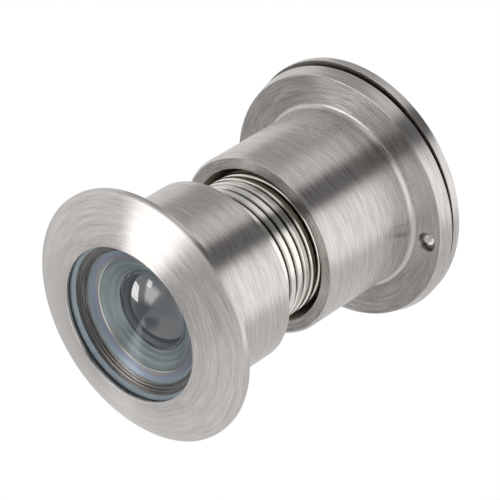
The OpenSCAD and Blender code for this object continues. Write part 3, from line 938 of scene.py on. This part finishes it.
def inner_half():
    housing = inner_housing()
    settle(housing, NICKEL, "inner_half", "satin_nickel", "inner_housing")
    mouth, back, _ = span("inner_housing")
    # painted shade: the flange's back face, across the gap from the cover, takes the dark plate
    refinish(housing, GAP_PAINTED_SHADE, lambda r, y, out: out > SQUARE_FACE and y > back - 0.1)
    # painted light: the bore behind the mouth takes the pale plate in place of the light bounced
    # off the thread
    refinish(housing, BORE_PAINTED_LIGHT, lambda r, y, out: r < INNER_BORE_R + 0.1 and y > mouth + 0.05)
    washer = revolve("thrust_washer_ring",
                     ring_section("thrust_washer", THRUST_WASHER_R, 0.04, SKIN / 2))
    settle(washer, STEEL, "inner_half", "spring_steel", "thrust_washer")

    low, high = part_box("pivot_washer")
    centre = (low + high) / 2 / MM
    washer = revolve("pivot_washer_ring", flat_ring(1.1, 2.1, 0.19, 0.05), around=AROUND_WASHER)
    on_axis(washer, centre, (0, 1, 0))
    settle(washer, STEEL, "inner_half", "spring_steel", "pivot_washer")


# ---------------------------------------------------------------- adjusting tube


def adjusting_tube():
    tree = thread_tree()
    settle(threaded_tube(tree), CUT_THREAD, "adjusting_tube", "bright_nickel", "threaded_tube")
    settle(threaded_bush(tree), BRIGHT, "outer_half", "bright_nickel", "threaded_bush")
    settle(circlip(), STEEL, "adjusting_tube", "spring_steel", "tube_circlip")

    front, crown, lens_r = span("eyepiece_lens")
    shoulder = front + EYE_EDGE_T
    glass_r = lens_r - 2 * SKIN
    rim = rounded([(0, front + SKIN, 0), (glass_r, front + SKIN, 0.1), (glass_r, shoulder, 0.1),
                   (EYE_CLEAR_R, shoulder, 0)], closed=False)
    back = dome(EYE_CLEAR_R - 0.05, crown - shoulder - SKIN, crown - SKIN, -1)
    settle(revolve("eyepiece_lens_glass", rim + back[::-1], closed=False), EYE_GLASS,
           "adjusting_tube", "optical_glass", "eyepiece_lens")

    retainer = slotted_ring("eyepiece_retainer", EYE_RETAINER_R, 1.2)
    settle(retainer, BLACK, "adjusting_tube", "black_anodised", "eyepiece_retainer")


# ---------------------------------------------------------------- cover and its pivot


def cover():
    """The swinging cover: a shallow disc with a full round edge and a soft crown, which leans a
    little on its pivot."""
    inner = rounded([(0, COVER_RECESS_DEPTH), (COVER_RECESS_R, COVER_RECESS_DEPTH, 0.15),
                     (COVER_RECESS_R, 0, 0.08), (COVER_R, 0, 0.12), (COVER_R, COVER_RIM)],
                    closed=False)
    flat_r = COVER_R - COVER_EDGE_R
    shoulder = arc_points((flat_r, COVER_RIM), COVER_EDGE_R, 0, 84, 12)
    top = dome(flat_r, COVER_CROWN, COVER_RIM + COVER_EDGE_R + COVER_CROWN, -1, 32)
    return revolve("privacy_cover_disc", inner[:-1] + shoulder + top[-2::-1], closed=False)


def cover_pieces():
    disc = cover()
    origin, axis = pivot_frame()
    low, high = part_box("privacy_cover")
    turn = Vector((0, 1, 0)).rotation_difference(axis).to_matrix().to_4x4()
    middle = (low + high) / 2
    centre = Vector((middle.x, 0, middle.z))
    centre.y = origin.y - (centre - origin).dot(Vector((axis.x, 0, axis.z))) / axis.y
    disc.data.transform(Matrix.Translation(centre) @ turn)
    settle(disc, NICKEL, "cover", "satin_nickel", "privacy_cover")
    # painted shade: the cover's inner face, across the gap from the flange, takes the dark plate
    refinish(disc, GAP_PAINTED_SHADE, lambda r, y, out: out < -SQUARE_FACE)

    low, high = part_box("cover_pivot")
    length = (high.y - low.y) / MM
    pin = revolve("cover_pivot_rivet",
                  dome(0.92, 0.3, 0, 1, 8) + rounded([(0.97, 0.38, 0), (0.99, length - 0.15, 0.1),
                                                      (0, length - 0.1, 0)], closed=False),
                  closed=False, around=AROUND_SMALL)
    start = origin + axis * ((low.y - origin.y + 0.03 * MM) / axis.y)
    on_axis(pin, start / MM, axis)
    settle(pin, BRIGHT, "cover", "bright_nickel", "cover_pivot")

    low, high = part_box("pivot_push_nut")
    nut = revolve("pivot_push_nut_ring",
                  flat_ring(1.0, 1.34, 0.11, 0.03), around=AROUND_SMALL)
    on_axis(nut, (low + high) / 2 / MM, axis)
    settle(nut, STEEL, "cover", "spring_steel", "pivot_push_nut")


outer_half()
inner_half()
adjusting_tube()
cover_pieces()

# ---------------------------------------------------------------- camera

# out of doors, to the right of the viewer and above it; angles in degrees, the rest in mm
AZIMUTH, ELEVATION, ROLL = 41.87, 30.89, -2.07
AIM_RIGHT, AIM_UP, AIM_OUT = 15.03, 9.33, 0.8
CAMERA_DISTANCE = 401.0
LENS_LENGTH, SENSOR_WIDTH = 208.98, 36.0

turn, climb, roll = (math.radians(x) for x in (AZIMUTH, ELEVATION, ROLL))
to_camera = Vector((math.sin(turn) * math.cos(climb), -math.cos(turn) * math.cos(climb),
                    math.sin(climb)))
sideways = Vector((math.cos(turn), math.sin(turn), 0))
upright = to_camera.cross(sideways)
right = math.cos(roll) * sideways + math.sin(roll) * upright
up = -math.sin(roll) * sideways + math.cos(roll) * upright

camera = new_object("camera", bpy.data.cameras.new("camera"))
eye = (AIM_RIGHT * right + AIM_UP * up + CAMERA_DISTANCE * to_camera
       - Vector((0, AIM_OUT, 0))) * MM
camera.matrix_world = (Matrix.Translation(eye)
                       @ Matrix((right, up, to_camera)).transposed().to_4x4())
camera.data.sensor_width = SENSOR_WIDTH
camera.data.lens = LENS_LENGTH
camera.data.clip_start = 0.01
camera.data.clip_end = 100
bpy.context.scene.camera = camera

# ---------------------------------------------------------------- floor and light

FLOOR_REACH = 20.0     # metres
FLOOR_GAP = 2.0        # mm, so that the cover swings clear

hinge = pivot_frame()[0]
cover_reach = COVER_R * MM + math.hypot(hinge.x, hinge.z)
floor_z = hinge.z - cover_reach - FLOOR_GAP * MM
floor_mesh = bpy.data.meshes.new("floor")
floor_mesh.from_pydata([(x * FLOOR_REACH, y * FLOOR_REACH, floor_z)
                        for x, y in ((-1, -1), (1, -1), (1, 1), (-1, 1))], [], [(0, 1, 2, 3)])
floor = new_object("floor", floor_mesh)
white_sweep, tree = new_material("white_sweep")
finish_surface(tree, add(tree, "ShaderNodeEmission", {"Color": (1, 1, 1, 1), "Strength": 1.0}))
floor_mesh.materials.append(white_sweep)
floor.visible_glossy = False
floor.visible_diffuse = False
floor.visible_shadow = False

# The studio: white walls, soft boxes and black or grey cards, all parallel to the viewer's axis.
# Each has the angle from +X towards +Z at which metal has to face to show it to the camera, half
# its width, how far its edge fades, all in degrees, and its level.
BESIDE = [("low_wall", -90, 35, 50, 0.8), ("left_wall", 138, 20, 30, 0.9),
          ("key_box", 22, 9, 13, 1.22), ("black_card", 49, 4, 8, 0.17),
          ("grey_card", 86, 7, 12, 0.48)]
IN_FRONT = [("grey_card", 30, 10, 22, 0.55), ("low_box", -104, 3, 14, 1.05)]
TOP_BOX = [("top_box", 77, 10, 12, 3.2)]
WALLS_BESIDE, WALLS_IN_FRONT, TABLE_IN_FRONT = 0.76, 0.93, 0.3
# how squarely the metal has to face -Y to show the front of the room, the top box and the table:
# the share of its normal along -Y where each begins, and where it takes over
FRONT_FROM, BOX_FROM, TABLE_FROM = (0.76, 0.9), (0.87, 0.91), (0.955, 0.99)


def lit_by(tree, facing_angle, walls, cards):
    """The light level at an angle in degrees: the walls, with each card laid over them."""
    level = walls
    for _, middle, half, fade, brightness in cards:
        away = add(tree, "ShaderNodeMath", {0: facing_angle, 1: middle}, operation="SUBTRACT")
        away = add(tree, "ShaderNodeMath", {0: away.outputs[0]}, operation="ABSOLUTE")
        share = add(tree, "ShaderNodeMapRange",
                    {"Value": away.outputs[0], "From Min": half, "From Max": half + fade,
                     "To Min": 1.0, "To Max": 0.0}, interpolation_type="SMOOTHSTEP")
        level = add(tree, "ShaderNodeMix",
                    {0: share.outputs[0], 2: level, 3: brightness}).outputs[0]
    return level


world = bpy.data.worlds.new("studio")
bpy.context.scene.world = world
world.use_nodes = True
sky = world.node_tree
sky.nodes.clear()
direction = add(sky, "ShaderNodeTexCoord").outputs["Generated"]
half_way = add(sky, "ShaderNodeVectorMath", {0: direction, 1: tuple(to_camera)},
               operation="ADD")
facing = add(sky, "ShaderNodeVectorMath", {0: half_way.outputs[0]}, operation="NORMALIZE")
axes = add(sky, "ShaderNodeSeparateXYZ", {0: facing.outputs[0]})
angle = add(sky, "ShaderNodeMath", {0: axes.outputs[2], 1: axes.outputs[0]}, operation="ARCTAN2")
degrees = add(sky, "ShaderNodeMath", {0: angle.outputs[0]}, operation="DEGREES").outputs[0]
to_front, to_box, to_table = [
    add(sky, "ShaderNodeMapRange",
        {"Value": axes.outputs[1], "From Min": -begins, "From Max": -takes_over},
        interpolation_type="SMOOTHSTEP").outputs[0]
    for begins, takes_over in (FRONT_FROM, BOX_FROM, TABLE_FROM)]

walls = add(sky, "ShaderNodeMix", {0: to_table, 2: WALLS_IN_FRONT, 3: TABLE_IN_FRONT})
carded = lit_by(sky, degrees, walls.outputs[0], IN_FRONT)
boxed = lit_by(sky, degrees, carded, TOP_BOX)
over_slope = add(sky, "ShaderNodeMix", {0: to_box, 2: carded, 3: boxed})
in_front = add(sky, "ShaderNodeMix", {0: to_table, 2: over_slope.outputs[0], 3: carded})
beside = lit_by(sky, degrees, WALLS_BESIDE, BESIDE)
level = add(sky, "ShaderNodeMix", {0: to_front, 2: beside, 3: in_front.outputs[0]}).outputs[0]
seen = add(sky, "ShaderNodeLightPath")
light = add(sky, "ShaderNodeBackground", {"Color": (1, 1, 1, 1), "Strength": level})
plain = add(sky, "ShaderNodeBackground", {"Color": (1, 1, 1, 1), "Strength": 1.0})
shown = add(sky, "ShaderNodeMixShader",
            {0: seen.outputs["Is Camera Ray"], 1: light.outputs[0], 2: plain.outputs[0]})
add(sky, "ShaderNodeOutputWorld", {"Surface": shown.outputs[0]})

# a square soft box and a small one, both on the left, light only the domed lens
LENS_BOX_DISTANCE = 0.6
only_lens = bpy.data.collections.new("lit_lens")
only_lens.objects.link(bpy.data.objects["second_lens_glass"])
for name, towards, size, watts in (("square_box", (-0.86, -0.49, -0.16), 0.2, 0.6),
                                   ("small_box", (-0.55, -0.80, 0.25), 0.1, 0.12)):
    box = new_object(name, bpy.data.lights.new(name, "AREA"))
    box.data.size = size
    box.data.energy = watts
    box.location = Vector(towards).normalized() * LENS_BOX_DISTANCE
    box.rotation_euler = Vector(towards).to_track_quat("Z", "Y").to_euler()
    box.light_linking.receiver_collection = only_lens

bpy.context.scene.view_settings.view_transform = "Standard"
